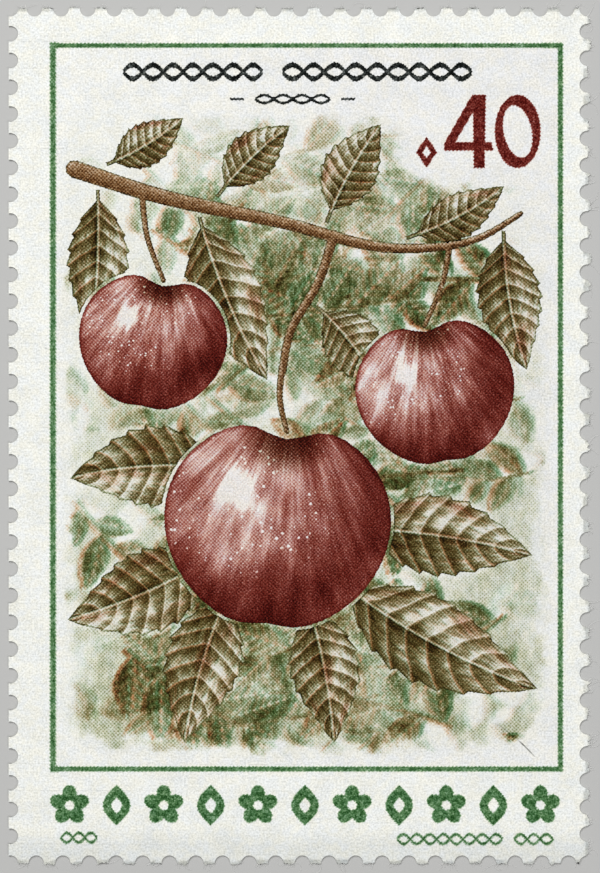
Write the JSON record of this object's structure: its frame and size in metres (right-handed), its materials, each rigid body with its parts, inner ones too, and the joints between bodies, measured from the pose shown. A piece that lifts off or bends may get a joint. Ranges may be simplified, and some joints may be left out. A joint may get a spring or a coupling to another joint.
{
  "type": "postage stamp",
  "caption": "Flat gummed paper label with perforated edges, one straight cut side, and a printed face with a framed fruit-branch picture, ornaments and a plain figure.",
  "frame": {"origin": "middle of the stamp's bounding box, at the underside of the gum that it rests on", "axes": "+Z out of the printed face, +Y towards the top edge of the print, +X to the right as the print is read"},
  "size_m": [0.0328, 0.0482, 0.0001],
  "materials": {
    "paper": "uncoated white stamp paper, matte, with fine fibres",
    "gum": "clear dried gum, slightly yellow, soft gloss",
    "green_ink": "green gravure ink, matte",
    "black_ink": "black gravure ink, matte",
    "maroon_ink": "maroon gravure ink, matte",
    "apple_ink": "screened maroon and pink gravure inks, matte",
    "leaf_ink": "screened olive and green gravure inks, matte",
    "bark_ink": "screened brown gravure ink, matte",
    "tint_ink": "pale screened sage gravure ink, matte"
  },
  "bodies": {
    "root": {"paper_sheet": "paper", "gum_film": "gum", "frame_line": "green_ink", "header_chain_left": "black_ink", "header_chain_right": "black_ink", "subhead_chain": "black_ink", "subhead_dash_left": "black_ink", "subhead_dash_right": "black_ink", "footer_chain_left": "green_ink", "footer_chain_middle": "green_ink", "footer_chain_right": "green_ink", "frieze_motif_01": "green_ink", "frieze_motif_02": "green_ink", "frieze_motif_03": "green_ink", "frieze_motif_04": "green_ink", "frieze_motif_05": "green_ink", "frieze_motif_06": "green_ink", "frieze_motif_07": "green_ink", "frieze_motif_08": "green_ink", "frieze_motif_09": "green_ink", "frieze_motif_10": "green_ink", "frieze_motif_11": "green_ink", "value_four": "maroon_ink", "value_zero": "maroon_ink", "value_mark": "maroon_ink", "picture_ground": "tint_ink", "branch": "bark_ink", "apple_large": "apple_ink", "apple_right": "apple_ink", "apple_left": "apple_ink", "leaf_01": "leaf_ink", "leaf_02": "leaf_ink", "leaf_03": "leaf_ink", "leaf_04": "leaf_ink", "leaf_05": "leaf_ink", "leaf_06": "leaf_ink", "leaf_07": "leaf_ink", "leaf_08": "leaf_ink", "leaf_09": "leaf_ink", "leaf_10": "leaf_ink", "leaf_11": "leaf_ink", "leaf_12": "leaf_ink", "leaf_13": "leaf_ink", "leaf_14": "leaf_ink"}
  },
  "joints": []
}
